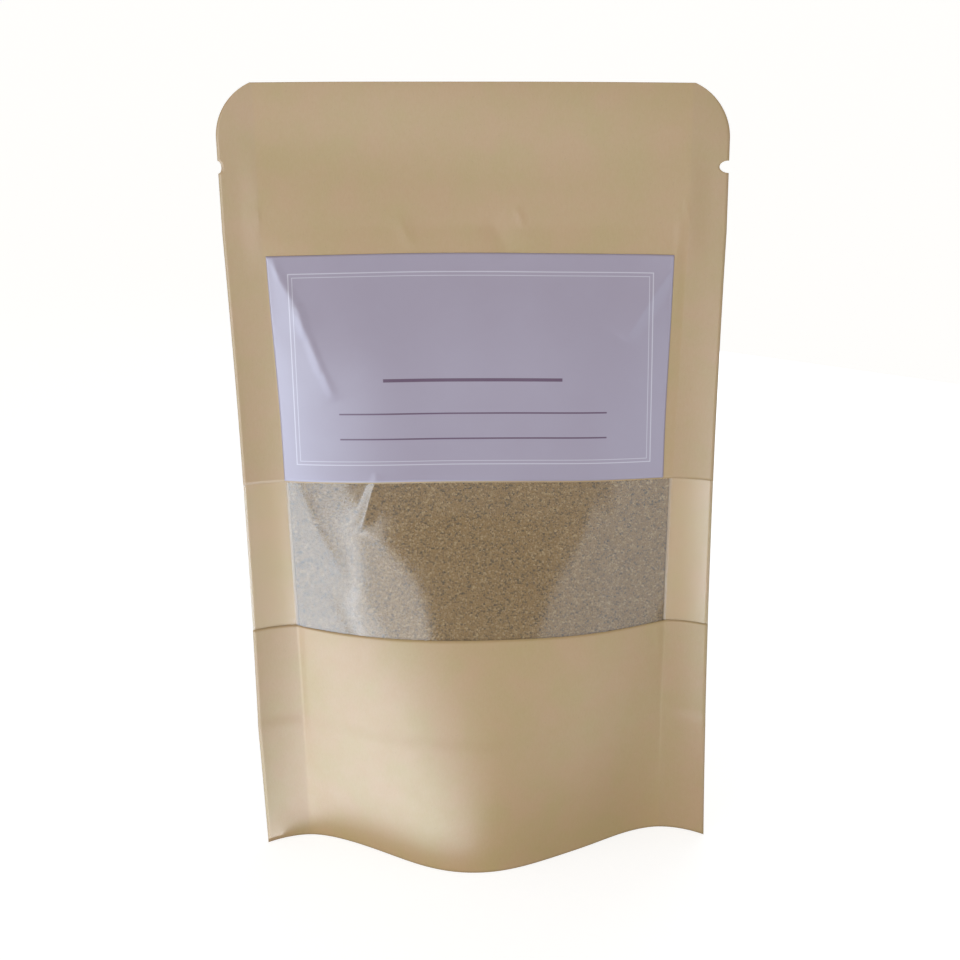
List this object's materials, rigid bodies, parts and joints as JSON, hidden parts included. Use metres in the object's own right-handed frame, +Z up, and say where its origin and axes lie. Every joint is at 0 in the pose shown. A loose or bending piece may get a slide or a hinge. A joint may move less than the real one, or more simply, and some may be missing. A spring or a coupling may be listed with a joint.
{
  "type": "stand-up pouch of ground sage",
  "caption": "Sealed kraft-paper stand-up pouch with a clear window band and a plain label, filled with ground sage; stands on its opened base fold.",
  "frame": {"origin": "centre of the base, on the surface that the hem stands on", "axes": "+Z up along the height, the labelled front towards -Y, +X to the viewer's right"},
  "size_m": [0.12, 0.0408, 0.2],
  "materials": {
    "kraft_paper": "satin brown kraft paper, lined with film",
    "window_film": "clear glossy film",
    "label_paper": "glossy lavender label",
    "zip_plastic": "milky translucent plastic",
    "ground_sage": "matt, fine ground dried leaf"
  },
  "bodies": {
    "root": {"back_panel": "kraft_paper", "front_upper_panel": "kraft_paper", "front_lower_panel": "kraft_paper", "bottom_gusset": "kraft_paper", "window_film": "window_film", "label": "label_paper", "front_zip_strip": "zip_plastic", "back_zip_strip": "zip_plastic", "ground_sage": "ground_sage"}
  },
  "joints": []
}
